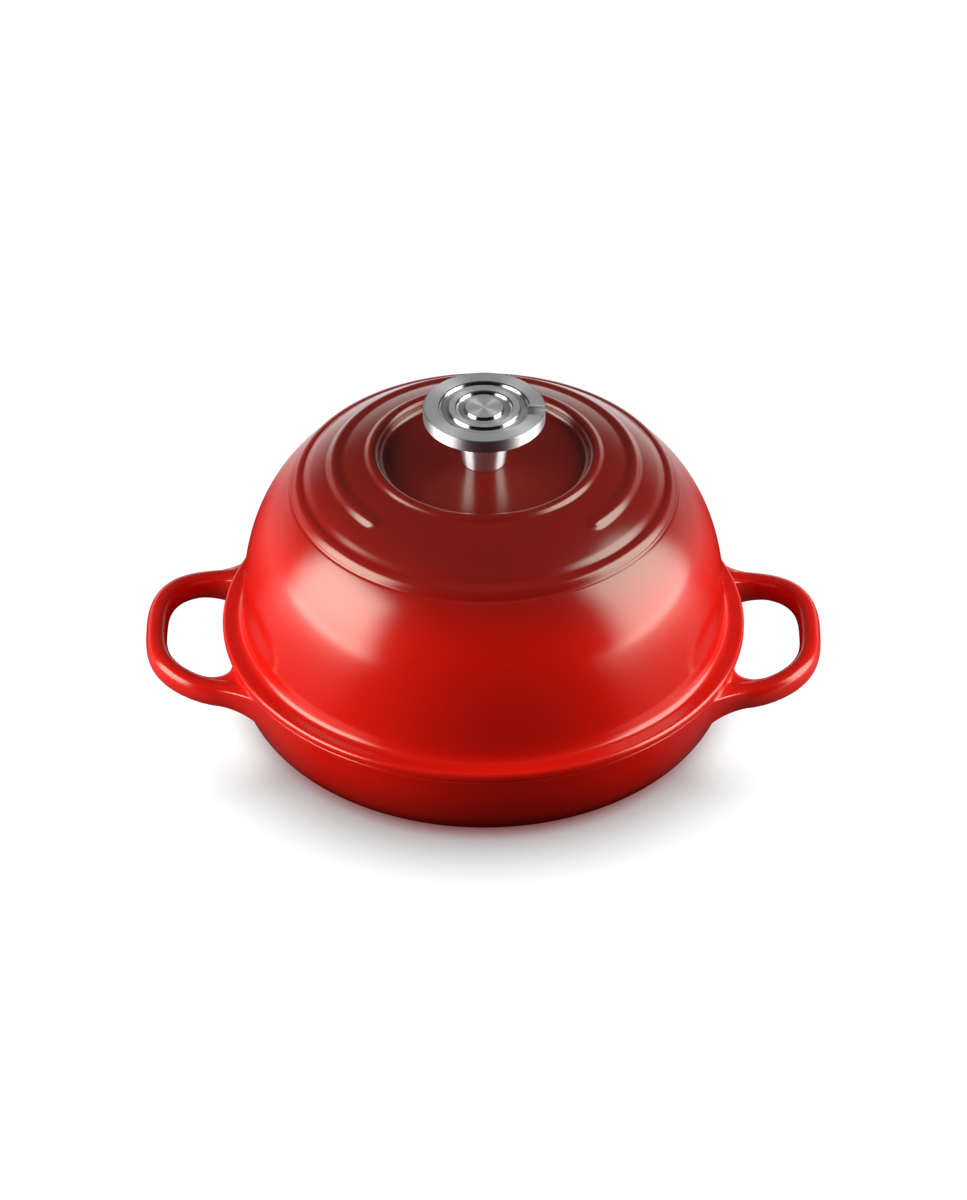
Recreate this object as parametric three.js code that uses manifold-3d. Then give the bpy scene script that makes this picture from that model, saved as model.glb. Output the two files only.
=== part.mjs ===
// Bread oven of the dutch oven family: a shallow cast pan with two loop handles, a tall cast dome that
// rests on its rim, and a turned steel knob held by a screw from inside the dome.
// Millimetres, +Z up. The foot stands on z = 0, the handles lie along X and the front is -Y.
import * as THREE from "three";
import { mergeVertices } from "three/addons/utils/BufferGeometryUtils.js";
import Module from "manifold-3d";

const wasm = await Module();
wasm.setup();

// Round sizes that the lid and the pan share
const DOME_RADIUS = 115.5; // outside of the dome's wall at the flange
const FLANGE_REACH = 9.5; // how far the flange stands out from the dome
const RIM_RADIUS = DOME_RADIUS + FLANGE_REACH; // outer edge of the flange

// Pan
const LIP_SETBACK = 1; // the pan's lip lies this far inside the flange's edge
const LIP_ROUND = 1.2; // rounding of the lip's outer edge
const MOUTH_ROUND = 0.8; // rounding of the lip's inner edge
const PAN_HEIGHT = 43; // foot to the seat of the lid
const PAN_TAPER = 5.7; // how far the wall draws in above the bottom corner
const PAN_CORNER = 21.5; // outer radius of the bottom corner
const PAN_WALL = 3.6;
const PAN_FLOOR = 4.2;
const FOOT_WIDTH = 9; // flat ring that the pan stands on
const FOOT_RECESS = 0.8; // how far the middle of the underside is drawn in
const RIDGE_COUNT = 4; // low rings on the pan's floor
const RIDGE_FIRST = 24; // radius of the innermost ridge
const RIDGE_PITCH = 16;
const RIDGE_WIDTH = 5;
const RIDGE_CREST = 1.8; // width of a ridge's flat top
const RIDGE_HEIGHT = 1.2;

// Loop handles, cast in one with the pan
const HANDLE_REACH = 37; // from the flange's edge to the outside of the loop
const HANDLE_SPAN = 92; // between the middles of the two arms at the root
const HANDLE_FULLNESS = 2.8; // superellipse exponent of the loop in plan
const HANDLE_WIDTH = 9;
const HANDLE_THICKNESS = 11.4;
const HANDLE_EDGE = 3; // superellipse exponent of the bar's section
const HANDLE_DROP = 3.5; // top of an arm below the seat
const HANDLE_RISE = 3.1; // how far the loop sweeps up to its tip
const ROOT_FILLET_IN = 10; // flare of the root towards the finger gap
const ROOT_FILLET_OUT = 13; // flare of the root along the wall
const ROOT_FILLET_DOWN = 8; // flare of the root down the wall
const ROOT_FILLET_UP = 2.6; // flare of the root up to the lip

// Dome lid
const SEAT_GAP = 0.3; // between the lip and the flange
const FLANGE_THICKNESS = 4.5;
const FLANGE_ROUND = 1.9; // rounding of the flange's upper edge
const FLANGE_UNDERCUT = 0.8; // rounding of the flange's lower edge
const FLANGE_FILLET = 4.5; // between the flange and the dome
const REGISTER_DEPTH = 3.2; // ring under the flange that keeps the lid centred
const REGISTER_WIDTH = 3.4;
const REGISTER_CLEARANCE = 0.7;
const DOME_HEIGHT = 104; // crown of the plain dome above the seat
const DOME_FULLNESS = 2.8; // superellipse exponent of the dome's outline
const LID_WALL = 3.2;
const DISH_RADIUS = 51; // sunk dish around the knob, at its edge
const DISH_DEPTH = 4.9;
const DISH_DRAFT = 1.6; // how far the dish's wall leans in
const DISH_COVE = 1.2; // between the dish's wall and floor
const RING_PITCH = 17; // between the crests of the three rings on the cap
const INNER_RING_INSIDE = 3; // from the dish's edge out to the crest
const INNER_RING_OUTSIDE = 3.2; // from the crest out to the plain dome
const INNER_RING_HEIGHT = 1.1;
const MIDDLE_RING_INSIDE = 5;
const MIDDLE_RING_OUTSIDE = 4;
const MIDDLE_RING_HEIGHT = 1.5;
const MIDDLE_RING_GAP = 90; // degrees left open at the front
const MIDDLE_RING_ROOT = 1.6; // how deep the bead is let into the dome
const MIDDLE_RING_SINK = 0.2; // how far its edges dip under the dome
const OUTER_RING_INSIDE = 4;
const OUTER_RING_OUTSIDE = 3.1;
const OUTER_RING_HEIGHT = 1.1;

// Knob
const DISC_RADIUS = 28.7;
const DISC_THICKNESS = 6.4;
const DISC_BEVEL = 0.8;
const GROOVE_DEPTH = 1.6;
const GROOVE_WIDTH = 4.3; // across its mouth
const GROOVE_DRAFT = 0.9; // how far each of its walls leans in
const OUTER_GROOVE = 18.8; // radius at the middle of the groove
const INNER_GROOVE = 10.9;
const NOTCH_WIDTH = 7.6;
const NOTCH_DEPTH = 1.7;
const NOTCH_ANGLE = -5.5; // degrees from +X
const STEM_HEIGHT = 24;
const STEM_TOP = 12.9; // radius under the disc
const STEM_FOOT = 10.2; // radius on the lid
const STEM_ROUND = 0.8;
const BUSH_RADIUS = 5.4;
const BUSH_POCKET = 1.8; // how deep the bush sits in the disc
const BUSH_FOOT_GAP = 0.6; // the stem, not the bush, bears on the lid
const FIT = 0.3; // radial clearance of pieces that slip together
const SCREW_RADIUS = 2.9;
const SCREW_REACH = 15; // thread above the dish's floor
const SCREW_SPARE = 1.5; // bore left above the screw's end
const HEAD_RADIUS = 5.4;
const HEAD_HEIGHT = 3.6;
const DRIVE_WIDTH = 1.1; // arms of the cross recess
const DRIVE_LENGTH = 6.4;
const DRIVE_DEPTH = 1.8;
const FLAT_WASHER_RADIUS = 9;
const FLAT_WASHER_THICKNESS = 1.4;
const LOCK_WASHER_RADIUS = 5.6;
const LOCK_WASHER_THICKNESS = 1.6;
const LOCK_WASHER_SPLIT = 1.2;

// Facets
const CASTING_FACETS = 52;
const TURNED_FACETS = 40;
const SMALL_FACETS = 24;
const SHOULDER_CROWDING = 1.8; // how much the dome's stations bunch towards its shoulder

// Places that several pieces share
const lipRadius = RIM_RADIUS - LIP_SETBACK;
const mouthRadius = lipRadius - PAN_WALL;
const lowerRadius = lipRadius - PAN_TAPER;
const dishFloor = domeHeightAt(DISH_RADIUS) - DISH_DEPTH;
const screwHole = SCREW_RADIUS + FIT;
const innerCrest = DISH_RADIUS + INNER_RING_INSIDE;
const innerRing = {
  radius: innerCrest,
  inside: INNER_RING_INSIDE,
  outside: INNER_RING_OUTSIDE,
  height: INNER_RING_HEIGHT,
};
const middleRing = {
  radius: innerCrest + RING_PITCH,
  inside: MIDDLE_RING_INSIDE,
  outside: MIDDLE_RING_OUTSIDE,
  height: MIDDLE_RING_HEIGHT,
};
const outerRing = {
  radius: innerCrest + 2 * RING_PITCH,
  inside: OUTER_RING_INSIDE,
  outside: OUTER_RING_OUTSIDE,
  height: OUTER_RING_HEIGHT,
};

// A bump of height 1 between -1 and 1, level at its crest and at both ends.
function bump(s) {
  return Math.abs(s) < 1 ? (1 + Math.cos(Math.PI * s)) / 2 : 0;
}

function signedPower(value, exponent) {
  return Math.sign(value) * Math.abs(value) ** exponent;
}

// Evenly spaced values from one end to the other, both included.
function span(from, to, steps) {
  return Array.from({ length: steps + 1 }, (_, i) => from + ((to - from) * i) / steps);
}

// Points of an arc in a profile, with angles in degrees.
function arc([r, z], radius, from, to, steps) {
  return span(from, to, steps).map((angle) => {
    const a = THREE.MathUtils.degToRad(angle);
    return [r + radius * Math.cos(a), z + radius * Math.sin(a)];
  });
}

// Angle on a circle, in degrees, where a line to an outside point leaves it on its right-hand side.
function tangentAngle([r, z], radius, [pr, pz]) {
  const away = Math.hypot(pr - r, pz - z);
  const turn = Math.atan2(pz - z, pr - r) - Math.acos(radius / away);
  return THREE.MathUtils.radToDeg(turn);
}

// Turns a profile of [radius, height] about Z. It runs anticlockwise, from the axis back to the axis
// or round to its own start.
function revolve(profile, facets) {
  const points = profile.map(([r, z]) => new THREE.Vector2(Math.max(r, 0), z));
  const geometry = new THREE.LatheGeometry(points, facets);
  geometry.rotateX(Math.PI / 2);
  return geometry;
}

function closed(profile) {
  return [...profile, profile[0]];
}

// Skins a row of sections, each a ring of points in the same order, and closes both ends.
function loft(sections) {
  const count = sections[0].length;
  const middles = [sections[0], sections.at(-1)].map((ring) =>
    ring.reduce((sum, p) => sum.add(p), new THREE.Vector3()).divideScalar(count),
  );
  const points = [...sections.flat(), ...middles];
  const last = (sections.length - 1) * count;
  const start = points.length - 2;
  const faces = [];
  for (let j = 0; j < count; j++) {
    const k = (j + 1) % count;
    for (let i = 0; i < last; i += count) {
      faces.push(i + j, i + count + j, i + k);
      faces.push(i + k, i + count + j, i + count + k);
    }
    faces.push(start, j, k);
    faces.push(start + 1, last + k, last + j);
  }
  return new THREE.BufferGeometry().setFromPoints(points).setIndex(faces);
}

function solid(geometry) {
  const bare = geometry.clone();
  bare.deleteAttribute("normal");
  bare.deleteAttribute("uv");
  const merged = mergeVertices(bare, 1e-4);
  const vertProperties = merged.attributes.position.array;
  const triVerts = new Uint32Array(merged.index.array);
  return new wasm.Manifold(new wasm.Mesh({ numProp: 3, vertProperties, triVerts }));
}

function geometryOf(manifold) {
  const mesh = manifold.getMesh();
  const geometry = new THREE.BufferGeometry();
  geometry.setAttribute("position", new THREE.BufferAttribute(mesh.vertProperties, 3));
  geometry.setIndex(new THREE.BufferAttribute(mesh.triVerts, 1));
  geometry.computeVertexNormals();
  return geometry;
}

// Pan: a solid bowl and its handles, with the cavity taken out of both.
function bowl() {
  const corner = [lowerRadius - PAN_CORNER, PAN_CORNER];
  const lip = [lipRadius, PAN_HEIGHT - LIP_ROUND];
  const footInside = corner[0] - FOOT_WIDTH;
  return revolve(
    [
      [0, FOOT_RECESS],
      [footInside - FOOT_RECESS, FOOT_RECESS],
      [footInside, 0],
      ...arc(corner, PAN_CORNER, -90, tangentAngle(corner, PAN_CORNER, lip), 8),
      ...arc([lipRadius - LIP_ROUND, lip[1]], LIP_ROUND, 0, 90, 2),
      [0, PAN_HEIGHT],
    ],
    CASTING_FACETS,
  );
}

// Bottom corner of the cavity, and where the straight wall above it leaves it for the mouth.
function innerCorner() {
  const radius = Math.max(PAN_CORNER - PAN_WALL, 1);
  const centre = [lowerRadius - PAN_CORNER, PAN_FLOOR + radius];
  const mouth = [mouthRadius, PAN_HEIGHT - MOUTH_ROUND];
  return { radius, centre, mouth, leave: tangentAngle(centre, radius, mouth) };
}

function floorRidges() {
  return Array.from({ length: RIDGE_COUNT }, (_, i) => RIDGE_FIRST + i * RIDGE_PITCH)
    .filter((radius) => radius + RIDGE_WIDTH < innerCorner().centre[0])
    .flatMap((radius) => [
      [radius - RIDGE_WIDTH / 2, PAN_FLOOR],
      [radius - RIDGE_CREST / 2, PAN_FLOOR + RIDGE_HEIGHT],
      [radius + RIDGE_CREST / 2, PAN_FLOOR + RIDGE_HEIGHT],
      [radius + RIDGE_WIDTH / 2, PAN_FLOOR],
    ]);
}

function cavity() {
  const { radius, centre, mouth, leave } = innerCorner();
  const above = PAN_HEIGHT + HANDLE_RISE + HANDLE_THICKNESS;
  return revolve(
    [
      [0, PAN_FLOOR],
      ...floorRidges(),
      ...arc(centre, radius, -90, leave, 6),
      ...arc([mouthRadius + MOUTH_ROUND, mouth[1]], MOUTH_ROUND, 180, 90, 2),
      [mouthRadius + MOUTH_ROUND, above],
      [0, above],
    ],
    CASTING_FACETS,
  );
}

// Growth of a root at a distance from the wall, as a quarter circle.
function fillet(distance, radius) {
  const d = Math.max(distance, 0);
  return d < radius ? radius - Math.sqrt(radius ** 2 - (radius - d) ** 2) : 0;
}

// One loop handle on the +X side: a bar swept round a superellipse. Its roots run into the wall, and
// flare along it, down it and up to the lip by how far the bar still is from the wall.
function handle() {
  const wing = HANDLE_SPAN / 2;
  const root = Math.sqrt(Math.max(lipRadius ** 2 - wing ** 2, 1)) - PAN_WALL - PAN_TAPER;
  const reach = RIM_RADIUS + HANDLE_REACH - HANDLE_WIDTH / 2 - root;
  const middle = PAN_HEIGHT - HANDLE_DROP - HANDLE_THICKNESS / 2;
  const point = (angle) =>
    new THREE.Vector2(
      root + reach * signedPower(Math.cos(angle), 2 / HANDLE_FULLNESS),
      wing * signedPower(Math.sin(angle), 2 / HANDLE_FULLNESS),
    );
  const step = 1e-4;
  const limit = Math.PI / 2 - 2 * step;
  return loft(
    span(-1, 1, 28).map((t) => {
      const angle = limit * Math.sin((t * Math.PI) / 2);
      const centre = point(angle);
      const along = point(angle + step).sub(point(angle - step)).normalize();
      const outward = new THREE.Vector2(along.y, -along.x).multiplyScalar(HANDLE_WIDTH / 2);
      const wallward = new THREE.Vector2(-centre.y, centre.x).normalize();
      wallward.multiplyScalar(Math.sign(wallward.dot(outward)) || 1);
      const outer = centre.clone().add(outward);
      const inner = centre.clone().sub(outward);
      outer.addScaledVector(wallward, fillet(outer.length() - lipRadius, ROOT_FILLET_OUT));
      inner.addScaledVector(wallward, -fillet(inner.length() - lipRadius, ROOT_FILLET_IN));
      const half = HANDLE_THICKNESS / 2;
      const away = centre.length() - lipRadius;
      const top = half + fillet(away, ROOT_FILLET_UP);
      const bottom = half + fillet(away, ROOT_FILLET_DOWN);
      const rise = HANDLE_RISE * THREE.MathUtils.smoothstep(centre.x, RIM_RADIUS, root + reach);
      return span(0, 2 * Math.PI, 12)
        .slice(1)
        .map((turn) => {
          const side = signedPower(Math.cos(turn), 2 / HANDLE_EDGE);
          const up = signedPower(Math.sin(turn), 2 / HANDLE_EDGE);
          const at = centre.clone().lerp(side > 0 ? outer : inner, Math.abs(side));
          return new THREE.Vector3(at.x, at.y, middle + rise + up * (up > 0 ? top : bottom));
        });
    }),
  );
}

function panGeometry() {
  const loop = handle();
  const casting = solid(bowl())
    .add(solid(loop))
    .add(solid(loop.clone().rotateZ(Math.PI)))
    .subtract(solid(cavity()));
  return geometryOf(casting);
}

// Lid, with its seat at z = 0. The plain dome is a superellipse, and rings are raised along its normal.
function domeHeightAt(radius, shrink = 0) {
  const share = 1 - (radius / (DOME_RADIUS - shrink)) ** DOME_FULLNESS;
  return (DOME_HEIGHT - shrink) * Math.max(share, 0) ** (1 / DOME_FULLNESS);
}

function domeRadiusAt(height, shrink = 0) {
  const share = 1 - (height / (DOME_HEIGHT - shrink)) ** DOME_FULLNESS;
  return (DOME_RADIUS - shrink) * Math.max(share, 0) ** (1 / DOME_FULLNESS);
}

// Unit normal of the dome at a radius, as [radial, up].
function domeNormalAt(radius) {
  const nr = (radius / DOME_RADIUS) ** (DOME_FULLNESS - 1) / DOME_RADIUS;
  const nz = (domeHeightAt(radius) / DOME_HEIGHT) ** (DOME_FULLNESS - 1) / DOME_HEIGHT;
  const length = Math.hypot(nr, nz);
  return [nr / length, nz / length];
}

function raised(radius, ring) {
  const s = radius - ring.radius;
  const [nr, nz] = domeNormalAt(radius);
  const lift = ring.height * bump(s / (s < 0 ? ring.inside : ring.outside));
  return [radius + nr * lift, domeHeightAt(radius) + nz * lift];
}

// The dome's cap from the outer ring in to the dish, where a profile that runs anticlockwise meets it.
function capProfile() {
  const stations = (ring) =>
    span(1, -1, 6).map((s) => raised(ring.radius + s * (s < 0 ? ring.inside : ring.outside), ring));
  const between = span(outerRing.radius - outerRing.inside, innerRing.radius + innerRing.outside, 4);
  return [
    ...stations(outerRing),
    ...between.slice(1, -1).map((radius) => [radius, domeHeightAt(radius)]),
    ...stations(innerRing),
  ];
}

// The dome's wall from the fillet above the flange up to the outer ring.
function wallProfile() {
  const low = FLANGE_THICKNESS + FLANGE_FILLET;
  const high = domeHeightAt(outerRing.radius + outerRing.outside);
  return span(0, 1, 8)
    .slice(1, -1)
    .map((s) => high - (high - low) * (1 - s) ** SHOULDER_CROWDING)
    .map((height) => [domeRadiusAt(height), height]);
}

// The ring under the flange follows the slope of the pan's mouth with its own clearance.
function registerRadius(depth) {
  const { radius, centre, mouth, leave } = innerCorner();
  const a = THREE.MathUtils.degToRad(leave);
  const low = [centre[0] + radius * Math.cos(a), centre[1] + radius * Math.sin(a)];
  const slope = (mouth[0] - low[0]) / (mouth[1] - low[1]);
  return mouthRadius - Math.max(depth - MOUTH_ROUND, 0) * slope - REGISTER_CLEARANCE;
}

// The inside of the dome, from the edge of the dish down to the flange.
function domeInside() {
  const low = FLANGE_THICKNESS;
  const high = domeHeightAt(DISH_RADIUS + LID_WALL, LID_WALL);
  return span(1, 0, 9)
    .map((s) => high - (high - low) * (1 - s) ** SHOULDER_CROWDING)
    .map((height) => [domeRadiusAt(height, LID_WALL), height]);
}

function lidGeometry() {
  const underside = dishFloor - LID_WALL;
  const foot = domeRadiusAt(FLANGE_THICKNESS + FLANGE_FILLET);
  const hollow = [foot + FLANGE_FILLET, FLANGE_THICKNESS + FLANGE_FILLET];
  const edge = [RIM_RADIUS - FLANGE_ROUND, FLANGE_THICKNESS - FLANGE_ROUND];
  const floorRadius = DISH_RADIUS - DISH_DRAFT;
  const tip = registerRadius(REGISTER_DEPTH);
  const shell = revolve(
    closed([
      [screwHole, underside],
      [floorRadius, underside],
      ...domeInside(),
      [tip - REGISTER_WIDTH, -REGISTER_DEPTH],
      [tip, -REGISTER_DEPTH],
      [registerRadius(0), SEAT_GAP],
      [RIM_RADIUS - FLANGE_UNDERCUT, SEAT_GAP],
      [RIM_RADIUS, SEAT_GAP + FLANGE_UNDERCUT],
      ...arc(edge, FLANGE_ROUND, 0, 90, 3),
      ...arc(hollow, FLANGE_FILLET, 270, 180, 3),
      ...wallProfile(),
      ...capProfile(),
      [floorRadius, dishFloor + DISH_COVE],
      [floorRadius - DISH_COVE, dishFloor],
      [screwHole, dishFloor],
    ]),
    CASTING_FACETS,
  );
  return geometryOf(solid(shell).add(solid(middleBead())));
}

// The interrupted ring: a low bead that runs round the back of the cap and dies away at both ends.
function middleBead() {
  const { radius, inside, outside, height } = middleRing;
  const [nr, nz] = domeNormalAt(radius);
  const first = -90 + MIDDLE_RING_GAP / 2;
  const last = 270 - MIDDLE_RING_GAP / 2;
  const taper = THREE.MathUtils.radToDeg(outside / radius);
  const tip = 0.02; // an end starts just short of a point
  const stops = span(tip * taper, taper, 3).slice(0, -1);
  const angles = [
    ...stops.map((s) => first + s),
    ...span(first + taper, last - taper, 32),
    ...stops.reverse().map((s) => last - s),
  ];
  const crest = span(1, -1, 6).map((s) => [
    s * (s < 0 ? inside : outside),
    (height + MIDDLE_RING_SINK) * bump(s) - MIDDLE_RING_SINK,
  ]);
  const section = [...crest, [-inside, -MIDDLE_RING_ROOT], [outside, -MIDDLE_RING_ROOT]];
  return loft(
    angles.map((angle) => {
      const end = Math.min(angle - first, last - angle) / taper;
      const share = end < 1 ? Math.sqrt(1 - (1 - end) ** 2) : 1;
      const a = THREE.MathUtils.degToRad(angle);
      return section.map(([across, lift]) => {
        const at = radius + across * share;
        const proud = lift > 0 ? lift * share : lift;
        const r = at + nr * proud;
        return new THREE.Vector3(r * Math.cos(a), r * Math.sin(a), domeHeightAt(at) + nz * proud);
      });
    }),
  );
}

// Knob, with the dish's floor at z = 0
function groove(radius, top) {
  const mouth = GROOVE_WIDTH / 2;
  const floor = mouth - GROOVE_DRAFT;
  return [
    [radius + mouth, top],
    [radius + floor, top - GROOVE_DEPTH],
    [radius - floor, top - GROOVE_DEPTH],
    [radius - mouth, top],
  ];
}

function discGeometry() {
  const bottom = STEM_HEIGHT;
  const top = bottom + DISC_THICKNESS;
  const pocket = BUSH_RADIUS + FIT;
  const disc = revolve(
    [
      [0, bottom + BUSH_POCKET],
      [pocket, bottom + BUSH_POCKET],
      [pocket, bottom],
      [DISC_RADIUS - DISC_BEVEL, bottom],
      [DISC_RADIUS, bottom + DISC_BEVEL],
      [DISC_RADIUS, top - DISC_BEVEL],
      [DISC_RADIUS - DISC_BEVEL, top],
      ...groove(OUTER_GROOVE, top),
      ...groove(INNER_GROOVE, top),
      [0, top],
    ],
    TURNED_FACETS,
  );
  const from = OUTER_GROOVE + GROOVE_WIDTH / 4;
  const length = DISC_RADIUS - from + DISC_BEVEL;
  const notch = new THREE.BoxGeometry(length, NOTCH_WIDTH, 2 * NOTCH_DEPTH);
  notch.translate(from + length / 2, 0, top);
  notch.rotateZ(THREE.MathUtils.degToRad(NOTCH_ANGLE));
  return geometryOf(solid(disc).subtract(solid(notch)));
}

function stemGeometry() {
  const bore = BUSH_RADIUS + FIT;
  return revolve(
    closed([
      [bore, 0],
      [STEM_FOOT - STEM_ROUND, 0],
      [STEM_FOOT, STEM_ROUND],
      [STEM_TOP, STEM_HEIGHT],
      [bore, STEM_HEIGHT],
    ]),
    SMALL_FACETS,
  );
}

function bushGeometry() {
  const blind = SCREW_REACH + SCREW_SPARE;
  return revolve(
    [
      [0, blind],
      [screwHole, blind],
      [screwHole, BUSH_FOOT_GAP],
      [BUSH_RADIUS, BUSH_FOOT_GAP],
      [BUSH_RADIUS, STEM_HEIGHT + BUSH_POCKET],
      [0, STEM_HEIGHT + BUSH_POCKET],
    ],
    SMALL_FACETS,
  );
}

function washerGeometry(radius, thickness, top) {
  return revolve(
    closed([
      [screwHole, top - thickness],
      [radius, top - thickness],
      [radius, top],
      [screwHole, top],
    ]),
    SMALL_FACETS,
  );
}

function lockWasherGeometry(top) {
  const ring = washerGeometry(LOCK_WASHER_RADIUS, LOCK_WASHER_THICKNESS, top);
  const split = new THREE.BoxGeometry(LOCK_WASHER_RADIUS, LOCK_WASHER_SPLIT, 3 * LOCK_WASHER_THICKNESS);
  split.rotateX(Math.PI / 6);
  split.translate(LOCK_WASHER_RADIUS, 0, top - LOCK_WASHER_THICKNESS / 2);
  return geometryOf(solid(ring).subtract(solid(split)));
}

function screwGeometry(seat) {
  const bottom = seat - HEAD_HEIGHT;
  const dome = HEAD_HEIGHT / 2;
  const body = revolve(
    [
      [0, bottom],
      [HEAD_RADIUS - dome, bottom],
      ...arc([HEAD_RADIUS - dome, bottom + dome], dome, -60, 0, 2),
      [HEAD_RADIUS, seat],
      [SCREW_RADIUS, seat],
      [SCREW_RADIUS, SCREW_REACH - SCREW_RADIUS / 2],
      [SCREW_RADIUS / 2, SCREW_REACH],
      [0, SCREW_REACH],
    ],
    SMALL_FACETS,
  );
  const arm = new THREE.BoxGeometry(DRIVE_LENGTH, DRIVE_WIDTH, 2 * DRIVE_DEPTH).translate(0, 0, bottom);
  const crossArm = arm.clone().rotateZ(Math.PI / 2);
  return geometryOf(solid(body).subtract(solid(arm)).subtract(solid(crossArm)));
}

// Finishes
const enamel = new THREE.MeshStandardMaterial({ color: 0xc8141a, roughness: 0.3, metalness: 0 });
const brushedSteel = new THREE.MeshStandardMaterial({ color: 0xb4b4b2, roughness: 0.38, metalness: 1 });
const turnedSteel = new THREE.MeshStandardMaterial({ color: 0xbdbdbb, roughness: 0.22, metalness: 1 });
const zincPlate = new THREE.MeshStandardMaterial({ color: 0xa6a8a6, roughness: 0.45, metalness: 1 });

function piece(name, geometry, material) {
  const mesh = new THREE.Mesh(geometry, material);
  mesh.name = name;
  return mesh;
}

function knobGroup() {
  const underside = -LID_WALL;
  const belowFlat = underside - FLAT_WASHER_THICKNESS;
  const belowLock = belowFlat - LOCK_WASHER_THICKNESS;
  const group = new THREE.Group();
  group.add(
    piece("knob_disc", discGeometry(), brushedSteel),
    piece("knob_stem", stemGeometry(), turnedSteel),
    piece("knob_bush", bushGeometry(), turnedSteel),
    piece("knob_screw", screwGeometry(belowLock), zincPlate),
    piece("lock_washer", lockWasherGeometry(belowFlat), zincPlate),
    piece("flat_washer", washerGeometry(FLAT_WASHER_RADIUS, FLAT_WASHER_THICKNESS, underside), zincPlate),
  );
  group.position.z = dishFloor;
  return group;
}

function lidGroup() {
  const group = new THREE.Group();
  group.add(piece("dome_lid", lidGeometry(), enamel), knobGroup());
  group.position.z = PAN_HEIGHT;
  return group;
}

const breadOven = new THREE.Group();
breadOven.add(piece("base_pan", panGeometry(), enamel), lidGroup());

export default breadOven;
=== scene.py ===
import math

import bpy
import numpy as np
from mathutils import Matrix, Vector


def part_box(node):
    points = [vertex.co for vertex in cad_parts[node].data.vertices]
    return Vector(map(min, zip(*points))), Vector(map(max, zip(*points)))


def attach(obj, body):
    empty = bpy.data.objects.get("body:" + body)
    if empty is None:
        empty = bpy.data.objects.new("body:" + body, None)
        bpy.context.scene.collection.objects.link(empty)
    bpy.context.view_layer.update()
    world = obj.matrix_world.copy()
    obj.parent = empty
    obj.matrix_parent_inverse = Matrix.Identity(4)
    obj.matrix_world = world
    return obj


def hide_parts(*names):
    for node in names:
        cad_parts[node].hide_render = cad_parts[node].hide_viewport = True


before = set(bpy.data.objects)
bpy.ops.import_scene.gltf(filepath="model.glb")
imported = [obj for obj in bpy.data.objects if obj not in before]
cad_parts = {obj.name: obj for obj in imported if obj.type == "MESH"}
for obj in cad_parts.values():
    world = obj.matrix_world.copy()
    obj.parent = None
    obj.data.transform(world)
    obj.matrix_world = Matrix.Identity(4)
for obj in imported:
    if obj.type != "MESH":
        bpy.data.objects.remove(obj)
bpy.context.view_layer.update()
mm = 0.001  # sizes below are in millimetres, meshes in metres


def levels(node):
    # lowest and highest point of a CAD node, in millimetres
    low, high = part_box(node)
    return low.z / mm, high.z / mm


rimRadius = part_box("dome_lid")[1].x / mm
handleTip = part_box("base_pan")[1].x / mm
seat = levels("base_pan")[1]
dishFloor = levels("knob_stem")[0]
lidUnderside = levels("flat_washer")[1]
print("frame loaded with", len(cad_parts), "nodes")


class Wire:
    # one socket of a node tree; arithmetic on wires adds Math nodes
    def __init__(self, tree, socket=None):
        self.tree = tree
        self.socket = socket

    def plug(self, slot, value):
        if isinstance(value, Wire):
            self.tree.links.new(value.socket, slot)
        else:
            slot.default_value = value

    def node(self, kind, settings=None, sockets=None, out=0):
        # any node: its settings first, then its sockets; a tuple of outputs gives a wire for each
        made = self.tree.nodes.new(kind)
        for name, value in (settings or {}).items():
            setattr(made, name, value)
        for key, value in (sockets or {}).items():
            self.plug(made.inputs[key], value)
        if isinstance(out, tuple):
            return [Wire(self.tree, made.outputs[key]) for key in out]
        return Wire(self.tree, made.outputs[out])

    def math(self, operation, *values):
        return self.node("ShaderNodeMath", {"operation": operation}, dict(enumerate(values)))

    def parts(self):
        return self.node("ShaderNodeSeparateXYZ", None, {0: self}, out=("X", "Y", "Z"))

    def limited(self, low, high):
        return self.math("MINIMUM", self.math("MAXIMUM", self, low), high)

    def __add__(self, other):
        return self.math("ADD", self, other)

    def __radd__(self, other):
        return self.math("ADD", other, self)

    def __sub__(self, other):
        return self.math("SUBTRACT", self, other)

    def __rsub__(self, other):
        return self.math("SUBTRACT", other, self)

    def __mul__(self, other):
        return self.math("MULTIPLY", self, other)

    def __rmul__(self, other):
        return self.math("MULTIPLY", other, self)

    def __truediv__(self, other):
        return self.math("DIVIDE", self, other)

    def __lt__(self, other):
        return self.math("LESS_THAN", self, other)

    def __gt__(self, other):
        return self.math("GREATER_THAN", self, other)


def rise(wire, low, high):
    # 0 below low, 1 above high, smooth between
    sockets = {"Value": wire, "From Min": low, "From Max": high}
    return wire.node("ShaderNodeMapRange", {"interpolation_type": "SMOOTHSTEP"}, sockets)


def mixColor(factor, first, second):
    sockets = {0: factor, 6: first, 7: second}
    return factor.node("ShaderNodeMix", {"data_type": "RGBA"}, sockets, out=2)


def radiusOf(x, y):
    return x.math("SQRT", x * x + y * y)


# Geometry Nodes: a tree has named inputs, runs on an object and leaves it as a plain mesh

def openTree(name, inputs):
    tree = bpy.data.node_groups.new(name, "GeometryNodeTree")
    tree.interface.new_socket("Geometry", in_out="OUTPUT", socket_type="NodeSocketGeometry")
    tree.interface.new_socket("Geometry", in_out="INPUT", socket_type="NodeSocketGeometry")
    for label, kind in inputs.items():
        tree.interface.new_socket(label, in_out="INPUT", socket_type="NodeSocket" + kind)
    source = tree.nodes.new("NodeGroupInput")
    return {socket.name: Wire(tree, socket) for socket in source.outputs if socket.name}


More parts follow.
